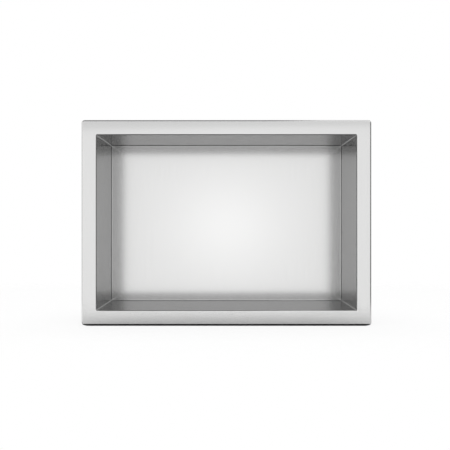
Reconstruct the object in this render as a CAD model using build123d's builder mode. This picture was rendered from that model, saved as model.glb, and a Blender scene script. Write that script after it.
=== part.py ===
from build123d import *

import os

# Shower niche insert: a recess for a tiled wall, folded from one steel sheet and welded at its corners.
# +Z is up and the open front faces -Y. The origin is the centre of the opening in the plane of the finished
# wall, where the rim of the flange's return lip bears. Millimetres.

# Driving dimensions
flange_outer_width = 432.0
flange_outer_height = 306.0
flange_face_width = 22.5
flange_corner_radius = 4.5
lip_depth = 6.0
recess_depth = 96.0
sheet_thickness = 1.0
lip_inside_radius = 2.0
mouth_inside_radius = 0.8
back_inside_radius = 1.0
weld_inside_radius = 1.4

# Sizes that follow from them
lip_outside_radius = lip_inside_radius + sheet_thickness
mouth_outside_radius = mouth_inside_radius + sheet_thickness
back_outside_radius = back_inside_radius + sheet_thickness
weld_outside_radius = weld_inside_radius + sheet_thickness
opening_width = flange_outer_width - 2 * flange_face_width
opening_height = flange_outer_height - 2 * flange_face_width
box_width = opening_width + 2 * sheet_thickness
box_height = opening_height + 2 * sheet_thickness
hollow_width = flange_outer_width - 2 * sheet_thickness
hollow_height = flange_outer_height - 2 * sheet_thickness
hollow_depth = lip_depth - sheet_thickness
hollow_corner_radius = flange_corner_radius - sheet_thickness

wall_plane = Plane.XZ
flange_rear_plane = Plane.XZ.offset(hollow_depth)
flange_front_plane = Plane.XZ.offset(lip_depth)


def recess_block(mouth_plane, width, height, depth, weld_radius, back_radius):
    """A block that fills the recess, with rounded welds along its depth and rounded folds at its back."""
    with BuildPart() as block:
        with BuildSketch(mouth_plane):
            RectangleRounded(width, height, weld_radius)
        extrude(amount=-depth)
        back = block.faces().sort_by(Axis.Y)[-1]
        fillet(back.edges(), back_radius)
    return block.part


outside_depth = hollow_depth + recess_depth
outside_of_recess = recess_block(
    flange_rear_plane, box_width, box_height, outside_depth, weld_outside_radius, back_outside_radius
)

inside_depth = lip_depth + recess_depth - sheet_thickness
inside_of_recess = recess_block(
    flange_front_plane, opening_width, opening_height, inside_depth, weld_inside_radius, back_inside_radius
)

with BuildPart() as niche_body:
    # Flange pad, as deep as its return lip, with the bend round its front edge
    with BuildSketch(wall_plane):
        RectangleRounded(flange_outer_width, flange_outer_height, flange_corner_radius)
    extrude(amount=lip_depth)
    flange_front = niche_body.faces().sort_by(Axis.Y)[0]
    fillet(flange_front.edges(), lip_outside_radius)

    # Hollow behind the flange, which leaves the flange and its return lip one sheet thick
    with BuildSketch(wall_plane):
        RectangleRounded(hollow_width, hollow_height, hollow_corner_radius)
    extrude(amount=hollow_depth, mode=Mode.SUBTRACT)
    flange_rear = niche_body.faces().filter_by(Axis.Y).sort_by(Axis.Y)[1]
    fillet(flange_rear.edges(), lip_inside_radius)

    # Recess behind the flange, with the bend at its mouth on both faces of the sheet
    add(outside_of_recess)
    flange_rear = niche_body.faces().filter_by(Axis.Y).sort_by(Axis.Y)[1]
    fillet(flange_rear.inner_wires()[0].edges(), mouth_inside_radius)
    add(inside_of_recess, mode=Mode.SUBTRACT)
    flange_front = niche_body.faces().sort_by(Axis.Y)[0]
    fillet(flange_front.inner_wires()[0].edges(), mouth_outside_radius)

niche_body.part.label = "niche_body"

os.makedirs("parts", exist_ok=True)
export_step(niche_body.part, "parts/niche_body.step")
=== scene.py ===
import math
from collections import namedtuple
from itertools import accumulate

import bpy
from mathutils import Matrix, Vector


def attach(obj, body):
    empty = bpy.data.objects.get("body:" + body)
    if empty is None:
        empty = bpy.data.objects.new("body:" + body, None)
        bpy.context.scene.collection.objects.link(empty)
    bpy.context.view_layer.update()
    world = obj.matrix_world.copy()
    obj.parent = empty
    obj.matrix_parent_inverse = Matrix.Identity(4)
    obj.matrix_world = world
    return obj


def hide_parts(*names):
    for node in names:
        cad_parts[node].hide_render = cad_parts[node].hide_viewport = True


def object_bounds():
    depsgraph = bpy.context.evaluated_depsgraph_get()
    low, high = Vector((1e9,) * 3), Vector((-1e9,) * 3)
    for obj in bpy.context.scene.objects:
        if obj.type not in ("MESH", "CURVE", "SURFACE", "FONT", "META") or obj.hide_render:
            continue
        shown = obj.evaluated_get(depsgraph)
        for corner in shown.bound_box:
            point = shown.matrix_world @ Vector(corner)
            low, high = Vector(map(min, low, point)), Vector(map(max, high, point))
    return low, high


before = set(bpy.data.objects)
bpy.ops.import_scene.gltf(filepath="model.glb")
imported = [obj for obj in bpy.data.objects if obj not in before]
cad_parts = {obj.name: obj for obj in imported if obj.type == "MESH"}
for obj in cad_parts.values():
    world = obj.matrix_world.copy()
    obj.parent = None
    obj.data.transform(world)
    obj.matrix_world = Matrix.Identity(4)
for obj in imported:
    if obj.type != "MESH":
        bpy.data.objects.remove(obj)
cad_low, cad_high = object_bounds()

# Sizes of the folded sheet, in metres: its box from the frame, its folds as in the solid
outer_half_width = cad_high.x
outer_half_height = cad_high.z
front_y = cad_low.y
wall_y = 0.0
back_y = cad_high.y
sheet = 0.0010
flange_face_width = 0.0225
flange_corner_radius = 0.0045
weld_inside_radius = 0.0014
lip_inside_radius = 0.0020
lip_outside_radius = lip_inside_radius + sheet
mouth_inside_radius = 0.0008
mouth_outside_radius = mouth_inside_radius + sheet
back_inside_radius = 0.0010
back_outside_radius = back_inside_radius + sheet
rim_edge_radius = 0.00025

# Mesh fineness: steps round bends and corners, along the sides, and over the flat stretches of the section
bend_steps = 10
corner_steps = 8
long_side_steps = 36
short_side_steps = 26
wall_steps = 10
flange_steps = 4
lip_steps = 2
rim_steps = 1

# The same in their order, round the niche from its top side and along the section from the recess wall
side_steps = (long_side_steps, short_side_steps) * 2
flat_steps = (wall_steps, flange_steps, lip_steps, rim_steps, lip_steps, flange_steps, wall_steps)

# Camera, from the outline measured in the photograph
image_pixels = 450
outline_pixels = 290.6
outline_centre_pixel = (226.5, 222.65)
vanishing_pixel_y = 226.0
camera_distance = 0.747

# Studio that the metal mirrors: a soft light in front, dim sides and a plain rear
straight_ahead = (0.0, -1.0, 0.0)
side_level = 0.18
rear_level = 0.75
rear_edge_degrees = (88, 110)

# Light in front: its level by degrees from straight ahead, and its soft edge round a middle a bit higher up
front_levels = (
    (0, 1.84),
    (3, 1.54),
    (6, 1.29),
    (10, 1.18),
    (18, 1.14),
    (40, 1.08),
    (180, 1.10),
)
front_level_limit = 2.0
front_edge_degrees = (36, 46)
front_edge_elevation = 8

# Cards that only the metal mirrors: beside the left lip, before the top flange, and overhead to the right
Card = namedtuple("Card", "name level corners")
cards = (
    Card("left_card", 1.15, (
        (-0.248, -0.055, -0.18), (-0.248, -0.005, -0.18), (-0.248, -0.005, 0.18), (-0.248, -0.055, 0.18),
    )),
    Card("top_card", 0.93, (
        (-0.30, -0.10, 0.1565), (0.30, -0.10, 0.1635), (0.30, -0.10, 0.25), (-0.30, -0.10, 0.25),
    )),
    Card("overhead_card", 1.12, (
        (0.07, -0.45, 0.45), (0.70, -0.45, 0.45), (0.70, 0.12, 0.45), (0.20, 0.12, 0.45),
    )),
)

# White surround that the camera sees, and the light on the floor from all round and from a lamp overhead
white = (1.0, 1.0, 1.0, 1.0)
surround_level = 1.0
fill_level = 0.55
lamp_size = (1.2, 0.8)
lamp_watts = 22.0
lamp_place = (0.0, 0.1, 1.6)

# Floor: a pale sheet that fades into the surround, and that the metal mirrors from near by only
floor_half = 1.3
floor_centre_y = 0.20
floor_colour = 0.83
floor_reach = (1.25, 0.41)
floor_fade = (0.60, 1.0)
mirrored_reach = (0.17, 0.26)

# Contact shadow painted into the floor's colour where the part stands, which the camera sees end below the
# flange's rounded corners
painted_shadow_reach = 0.008
painted_shadow_range = (0.62, 0.93)
seen_painted_shadow_range = (0.56, 0.72)
seen_painted_shadow_end = (outer_half_width - 0.0099, outer_half_width - 0.0036)
seen_shadow = 0.12

# Steel, which spreads reflections across its grain, a quarter turn from the grain's run
steel_colour = (0.652, 0.652, 0.650)
edge_tint = 0.5
steel_roughness = 0.20
grain_spread = 0.30
grain_spread_turn = 0.25

# Brushing: streaks as length and width in metres, with their swing in tone and roughness
fine_streak = (0.035, 0.00025)
fine_tone = 0.05
fine_roughness = 0.04
broad_streak = (0.120, 0.0020)
broad_tone = 0.012
broad_roughness = 0.012
scratch_depth = 0.000005

# A ring of the sheet: insets of its line and its corners' centres from the outline, its depth and its normal
Ring = namedtuple("Ring", "inset corner_inset y normal_out normal_y")


def part_way(start, end, share):
    return start + (end - start) * share


def bend(centre, radius, start, end, corner_inset):
    """Rings round a fold from one angle to another: 0 is away from the niche's middle, 90 is into the wall.

    Falling angles follow the hollow side of the fold.
    """
    centre_inset, centre_y = centre
    side = 1.0 if start < end else -1.0
    rings = []
    for step in range(bend_steps + 1):
        angle = math.radians(part_way(start, end, step / bend_steps))
        out, depth = math.cos(angle), math.sin(angle)
        inset = centre_inset - radius * out
        y = centre_y + radius * depth
        rings.append(Ring(inset, corner_inset, y, side * out, side * depth))
    return rings


def between(first, last, steps):
    """Rings spaced evenly over the flat stretch between two rings."""
    rings = []
    for step in range(1, steps):
        share = step / steps
        ring = first._replace(
            inset=part_way(first.inset, last.inset, share),
            corner_inset=part_way(first.corner_inset, last.corner_inset, share),
            y=part_way(first.y, last.y, share),
        )
        rings.append(ring)
    return rings


def sheet_rings():
    """All rings in order: recess, flange, return lip, its rim, and back along the hidden side."""
    flange_corner = flange_corner_radius
    recess_corner = flange_face_width + weld_inside_radius
    back_bend = (flange_face_width + back_inside_radius, back_y - back_outside_radius)
    mouth_bend = (flange_face_width - mouth_outside_radius, front_y + mouth_outside_radius)
    lip_bend = (lip_outside_radius, front_y + lip_outside_radius)
    outer_rim_edge = (rim_edge_radius, wall_y - rim_edge_radius)
    inner_rim_edge = (sheet - rim_edge_radius, wall_y - rim_edge_radius)
    folds = [
        bend(back_bend, back_inside_radius, 90, 0, recess_corner),
        bend(mouth_bend, mouth_outside_radius, 180, 270, recess_corner),
        bend(lip_bend, lip_outside_radius, 270, 360, flange_corner),
        bend(outer_rim_edge, rim_edge_radius, 0, 90, flange_corner),
        bend(inner_rim_edge, rim_edge_radius, 90, 180, flange_corner),
        bend(lip_bend, lip_inside_radius, 0, -90, flange_corner),
        bend(mouth_bend, mouth_inside_radius, -90, -180, recess_corner),
        bend(back_bend, back_outside_radius, 0, 90, recess_corner),
    ]
    rings = list(folds[0])
    for fold, steps in zip(folds[1:], flat_steps):
        rings += between(rings[-1], fold[0], steps)
        rings += fold
    return rings


def plan_loop(ring):
    """Points of one ring as x, z and the plan angle of the normal, counterclockwise from the right side."""
    centre_x = outer_half_width - ring.corner_inset
    centre_z = outer_half_height - ring.corner_inset
    radius = ring.corner_inset - ring.inset
    arcs = []
    for quarter, (sign_x, sign_z) in enumerate(((1, 1), (-1, 1), (-1, -1), (1, -1))):
        arc = []
        for step in range(corner_steps + 1):
            angle = math.radians(90 * (quarter + step / corner_steps))
            x = sign_x * centre_x + radius * math.cos(angle)
            z = sign_z * centre_z + radius * math.sin(angle)
            arc.append((x, z, angle))
        arcs.append(arc)
    loop = []
    for arc, next_arc, steps in zip(arcs, arcs[1:] + arcs[:1], side_steps):
        loop += arc
        (x0, z0, angle), (x1, z1, _) = arc[-1], next_arc[0]
        for step in range(1, steps):
            share = step / steps
            loop.append((part_way(x0, x1, share), part_way(z0, z1, share), angle))
    return loop


def loop_sides():
    """For each step along a loop, True where it belongs to the left or right side of the niche."""
    upright = []
    for quarter, steps in enumerate(side_steps):
        starts_upright = quarter % 2 == 0
        upright += [starts_upright] * (corner_steps // 2)
        upright += [not starts_upright] * (corner_steps // 2 + steps)
    return upright


class SheetMesh:
    """Collects vertices with exact normals, and faces with each corner's place along and across the grain."""

    def __init__(self):
        self.vertices = []
        self.normals = []
        self.faces = []
        self.grain = []

    def vertex(self, place, normal):
        self.vertices.append(place)
        self.normals.append(normal)
        return len(self.vertices) - 1

    def face(self, corners, grain):
        self.faces.append(corners)
        self.grain.append(grain)


def add_ring(mesh, ring):
    """Adds a ring's vertices, and returns them in order as a loop."""
    loop = []
    for x, z, angle in plan_loop(ring):
        normal = (ring.normal_out * math.cos(angle), ring.normal_y, ring.normal_out * math.sin(angle))
        loop.append(mesh.vertex((x, ring.y, z), normal))
    return loop


def add_band(mesh, rings, loops, runs):
    """Joins two rings with faces. The grain is upright, or along the depth on the top and bottom sides."""
    (ring, next_ring), (loop, next_loop), (run, next_run) = rings, loops, runs
    depth_part = abs(ring.normal_y + next_ring.normal_y)
    outward_part = abs(ring.normal_out + next_ring.normal_out)
    frontal = depth_part > outward_part
    for i, upright in enumerate(loop_sides()):
        j = (i + 1) % len(loop)
        corners = [loop[i], next_loop[i], next_loop[j], loop[j]]
        grain = []
        for corner, corner_run in zip(corners, (run, next_run, next_run, run)):
            x, _, z = mesh.vertices[corner]
            along = z if frontal or upright else corner_run
            across = x if frontal or not upright else corner_run
            grain.append((along, across))
        mesh.face(corners, grain)


def add_panel(mesh, ring, loop):
    """Fills a ring with an even grid, and with one face in each of its rounded corners."""
    arcs, sides = [], []
    start = 0
    for steps in side_steps:
        end = start + corner_steps
        arcs.append(loop[start:end + 1])
        sides.append((loop + loop[:1])[end:end + steps + 1])
        start = end + steps
    top, left, bottom, right = sides[0], sides[1], sides[2][::-1], sides[3][::-1]
    rows = [top]
    for row in range(1, short_side_steps):
        z = mesh.vertices[left[row]][2]
        inner = []
        for column in range(1, long_side_steps):
            x = mesh.vertices[top[column]][0]
            inner.append(mesh.vertex((x, ring.y, z), (0.0, ring.normal_y, 0.0)))
        rows.append([right[row]] + inner + [left[row]])
    rows.append(bottom)
    faces = [[right[1]] + arcs[0], arcs[1] + [left[1]], [left[-2]] + arcs[2], arcs[3] + [right[-2]]]
    for upper, lower in zip(rows, rows[1:]):
        for column in range(long_side_steps):
            faces.append([upper[column], upper[column + 1], lower[column + 1], lower[column]])
    for corners in faces:
        if ring.normal_y > 0:
            corners.reverse()
        places = [mesh.vertices[corner] for corner in corners]
        mesh.face(corners, [(z, x) for x, _, z in places])


def sheet_mesh():
    """The whole sheet: bands of faces from ring to ring, and both faces of the back panel."""
    mesh = SheetMesh()
    rings = sheet_rings()
    loops = [add_ring(mesh, ring) for ring in rings]
    lengths = [math.hypot(b.inset - a.inset, b.y - a.y) for a, b in zip(rings, rings[1:])]
    runs = [0.0, *accumulate(lengths)]
    for number in range(len(lengths)):
        pair = slice(number, number + 2)
        add_band(mesh, rings[pair], loops[pair], runs[pair])
    add_panel(mesh, rings[0], loops[0])
    add_panel(mesh, rings[-1], loops[-1])
    return mesh


def add_object(name, data):
    added = bpy.data.objects.new(name, data)
    bpy.context.scene.collection.objects.link(added)
    return added


def add_niche():
    """The sheet as an object, with its grain map, exact normals and material."""
    mesh = sheet_mesh()
    data = bpy.data.meshes.new("folded_niche")
    data.from_pydata(mesh.vertices, [], mesh.faces)
    grain_map = data.uv_layers.new(name="grain")
    grain_map.uv.foreach_set("vector", [value for face in mesh.grain for place in face for value in place])
    data.shade_smooth()
    data.normals_split_custom_set_from_vertices(mesh.normals)
    data.materials.append(steel_material())
    return add_object("folded_niche", data)


def add_camera():
    metres_per_pixel = (cad_high.x - cad_low.x) / outline_pixels
    frame_width = image_pixels * metres_per_pixel
    data = bpy.data.cameras.new("camera")
    data.lens = data.sensor_width * camera_distance / frame_width
    data.shift_x = (image_pixels / 2 - outline_centre_pixel[0]) / image_pixels
    data.shift_y = (vanishing_pixel_y - image_pixels / 2) / image_pixels
    camera = add_object("camera", data)
    camera_z = (outline_centre_pixel[1] - vanishing_pixel_y) * metres_per_pixel
    camera.location = (0.0, front_y - camera_distance, camera_z)
    camera.rotation_euler = (math.radians(90), 0.0, 0.0)
    bpy.context.scene.camera = camera


def feed(tree, socket, value):
    """Links an output to a socket, or sets a plain value on it."""
    if isinstance(value, bpy.types.NodeSocket):
        tree.links.new(value, socket)
    else:
        socket.default_value = value


def math_node(tree, operation, *values):
    node = tree.nodes.new("ShaderNodeMath")
    node.operation = operation
    for socket, value in zip(node.inputs, values):
        feed(tree, socket, value)
    return node.outputs["Value"]


def vector_node(tree, operation, *values):
    node = tree.nodes.new("ShaderNodeVectorMath")
    node.operation = operation
    for socket, value in zip(node.inputs, values):
        feed(tree, socket, value)
    return node.outputs


def mix_values(tree, share, first, second):
    """The first value where share is 0, the second where it is 1."""
    node = tree.nodes.new("ShaderNodeMix")
    for name, value in (("Factor", share), ("A", first), ("B", second)):
        feed(tree, node.inputs[name], value)
    return node.outputs["Result"]


def smooth_step(tree, value, low, high, from_level=0.0, to_level=1.0):
    """A level that goes smoothly from one to another while value goes from low to high."""
    node = tree.nodes.new("ShaderNodeMapRange")
    node.interpolation_type = "SMOOTHSTEP"
    names = ("Value", "From Min", "From Max", "To Min", "To Max")
    for name, setting in zip(names, (value, low, high, from_level, to_level)):
        feed(tree, node.inputs[name], setting)
    return node.outputs["Result"]


def degrees_from(tree, direction, centre):
    """The angle between a direction and a fixed one."""
    cosine = vector_node(tree, "DOT_PRODUCT", direction, centre)["Value"]
    return math_node(tree, "DEGREES", math_node(tree, "ARCCOSINE", cosine))


def front_light(tree, angle):
    """The level of the light in front, by the angle from straight ahead."""
    ramp = tree.nodes.new("ShaderNodeValToRGB")
    ramp_end = front_levels[-1][0]
    elements = ramp.color_ramp.elements
    for degrees, _ in front_levels[1:-1]:
        elements.new(degrees / ramp_end)
    for element, (_, level) in zip(elements, front_levels):
        element.color = (level / front_level_limit,) * 3 + (1.0,)
    feed(tree, ramp.inputs["Fac"], math_node(tree, "DIVIDE", angle, ramp_end))
    return math_node(tree, "MULTIPLY", ramp.outputs["Color"], front_level_limit)


def add_world():
    """The white surround to the camera, the studio to the metal, and a plain fill to the rest."""
    world = bpy.data.worlds.new("studio")
    bpy.context.scene.world = world
    world.use_nodes = True
    tree = world.node_tree
    direction = tree.nodes.new("ShaderNodeTexCoord").outputs["Generated"]
    from_ahead = degrees_from(tree, direction, straight_ahead)
    elevation = math.radians(front_edge_elevation)
    from_middle = degrees_from(tree, direction, (0.0, -math.cos(elevation), math.sin(elevation)))
    past_front = smooth_step(tree, from_middle, *front_edge_degrees)
    past_sides = smooth_step(tree, from_ahead, *rear_edge_degrees)
    studio = mix_values(tree, past_front, front_light(tree, from_ahead), side_level)
    studio = mix_values(tree, past_sides, studio, rear_level)
    path = tree.nodes.new("ShaderNodeLightPath").outputs
    mirrored = math_node(tree, "MAXIMUM", path["Is Glossy Ray"], path["Is Transmission Ray"])
    light = mix_values(tree, mirrored, fill_level, studio)
    background = tree.nodes["Background"]
    background.inputs["Color"].default_value = white
    feed(tree, background.inputs["Strength"], mix_values(tree, path["Is Camera Ray"], light, surround_level))


def floor_material():
    """Matt paper with a contact shadow painted into its colour, seen by the camera as a dark line and a faint
    real shadow, and by the metal from near by only.
    """
    material = bpy.data.materials.new("floor_paper")
    material.use_nodes = True
    tree = material.node_tree
    shader = tree.nodes["Principled BSDF"]
    shader.inputs["Roughness"].default_value = 1.0
    shader.inputs["Specular IOR Level"].default_value = 0.0
    # Painted shade: the paper's colour falls to black where the part is close by, a contact shadow painted
    # in, which the metal mirrors too
    contact = tree.nodes.new("ShaderNodeAmbientOcclusion")
    contact.inputs["Distance"].default_value = painted_shadow_reach
    openness = contact.outputs["AO"]
    painted_contact_shadow = smooth_step(tree, openness, *painted_shadow_range)
    feed(tree, shader.inputs["Base Color"], math_node(tree, "MULTIPLY", painted_contact_shadow, floor_colour))

    place = tree.nodes.new("ShaderNodeTexCoord").outputs["Object"]
    shares = vector_node(tree, "MULTIPLY", place, (1.0 / floor_reach[0], 1.0 / floor_reach[1], 0.0))
    distance = vector_node(tree, "LENGTH", shares["Vector"])["Value"]
    fade = smooth_step(tree, distance, *floor_fade, 1.0, 0.0)
    axes = tree.nodes.new("ShaderNodeSeparateXYZ")
    feed(tree, axes.inputs["Vector"], place)
    # The camera sees the painted contact shadow in full as a dark line along the straight edge, elsewhere
    # only a faint real shadow
    past_line = smooth_step(tree, math_node(tree, "ABSOLUTE", axes.outputs["X"]), *seen_painted_shadow_end)
    line = smooth_step(tree, openness, *seen_painted_shadow_range, 1.0, seen_shadow)
    seen = mix_values(tree, past_line, line, seen_shadow)
    path = tree.nodes.new("ShaderNodeLightPath").outputs
    near = smooth_step(tree, path["Ray Length"], *mirrored_reach, 1.0, 0.0)
    mirrored = mix_values(tree, path["Is Glossy Ray"], 1.0, near)
    share = mix_values(tree, path["Is Camera Ray"], mirrored, seen)
    feed(tree, shader.inputs["Alpha"], math_node(tree, "MULTIPLY", fade, share))
    return material


def add_flat(name, corners, material):
    """A flat object with four corners."""
    mesh = bpy.data.meshes.new(name)
    mesh.from_pydata(corners, [], [(0, 1, 2, 3)])
    mesh.materials.append(material)
    return add_object(name, mesh)


def add_floor():
    corners = [(-floor_half, -floor_half, 0.0), (floor_half, -floor_half, 0.0),
               (floor_half, floor_half, 0.0), (-floor_half, floor_half, 0.0)]
    floor = add_flat("floor", corners, floor_material())
    floor.location = (0.0, floor_centre_y, cad_low.z)


def add_lamp():
    data = bpy.data.lights.new("overhead_softbox", "AREA")
    data.shape = "RECTANGLE"
    data.size, data.size_y = lamp_size
    data.energy = lamp_watts
    lamp = add_object("overhead_softbox", data)
    lamp.location = lamp_place
    lamp.visible_glossy = False
    lamp.visible_camera = False


def card_material(name, level):
    material = bpy.data.materials.new(name)
    material.use_nodes = True
    tree = material.node_tree
    tree.nodes.clear()
    glow = tree.nodes.new("ShaderNodeEmission")
    glow.inputs["Strength"].default_value = level
    output = tree.nodes.new("ShaderNodeOutputMaterial")
    feed(tree, output.inputs["Surface"], glow.outputs["Emission"])
    return material


def add_card(name, level, corners):
    """A flat card that shows in the metal and nowhere else."""
    card = add_flat(name, corners, card_material(name, level))
    card.visible_camera = False
    card.visible_diffuse = False
    card.visible_shadow = False


def streaks(tree, place, length, width):
    """A pattern of streaks that run with the grain, from 0 to 1."""
    scaled = vector_node(tree, "MULTIPLY", place, (1.0 / length, 1.0 / width, 0.0))["Vector"]
    noise = tree.nodes.new("ShaderNodeTexNoise")
    noise.noise_dimensions = "2D"
    noise.inputs["Scale"].default_value = 1.0
    feed(tree, noise.inputs["Vector"], scaled)
    return noise.outputs["Fac"]


def varied(tree, middle, patterns):
    """A middle value with patterns added to it, each as wide as its swing to either side."""
    value = middle
    for pattern, swing in patterns:
        value = math_node(tree, "ADD", value, math_node(tree, "MULTIPLY", pattern, 2 * swing))
        value = math_node(tree, "SUBTRACT", value, swing)
    return value


def steel_material():
    """Brushed steel, with streaks in tone, roughness and relief along the grain."""
    material = bpy.data.materials.new("brushed_steel_finish")
    material.use_nodes = True
    tree = material.node_tree
    shader = tree.nodes["Principled BSDF"]
    grain_map = tree.nodes.new("ShaderNodeUVMap")
    grain_map.uv_map = "grain"
    place = grain_map.outputs["UV"]
    fine = streaks(tree, place, *fine_streak)
    broad = streaks(tree, place, *broad_streak)

    tone = varied(tree, 1.0, ((fine, fine_tone), (broad, broad_tone)))
    colour = vector_node(tree, "MULTIPLY", steel_colour, tone)["Vector"]
    feed(tree, shader.inputs["Base Color"], colour)
    roughness = varied(tree, steel_roughness, ((fine, fine_roughness), (broad, broad_roughness)))
    feed(tree, shader.inputs["Roughness"], roughness)
    scratches = tree.nodes.new("ShaderNodeBump")
    scratches.inputs["Distance"].default_value = scratch_depth
    feed(tree, scratches.inputs["Height"], fine)
    feed(tree, shader.inputs["Normal"], scratches.outputs["Normal"])
    along_grain = tree.nodes.new("ShaderNodeTangent")
    along_grain.direction_type = "UV_MAP"
    along_grain.uv_map = "grain"
    feed(tree, shader.inputs["Tangent"], along_grain.outputs["Tangent"])
    shader.inputs["Anisotropic"].default_value = grain_spread
    shader.inputs["Anisotropic Rotation"].default_value = grain_spread_turn
    shader.inputs["Metallic"].default_value = 1.0
    shader.inputs["Specular Tint"].default_value = (edge_tint, edge_tint, edge_tint, 1.0)
    return material


add_camera()
add_world()
add_floor()
add_lamp()
for card in cards:
    add_card(*card)
niche = add_niche()
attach(niche, "root")
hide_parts("niche_body")

bpy.context.scene.view_settings.view_transform = "Standard"
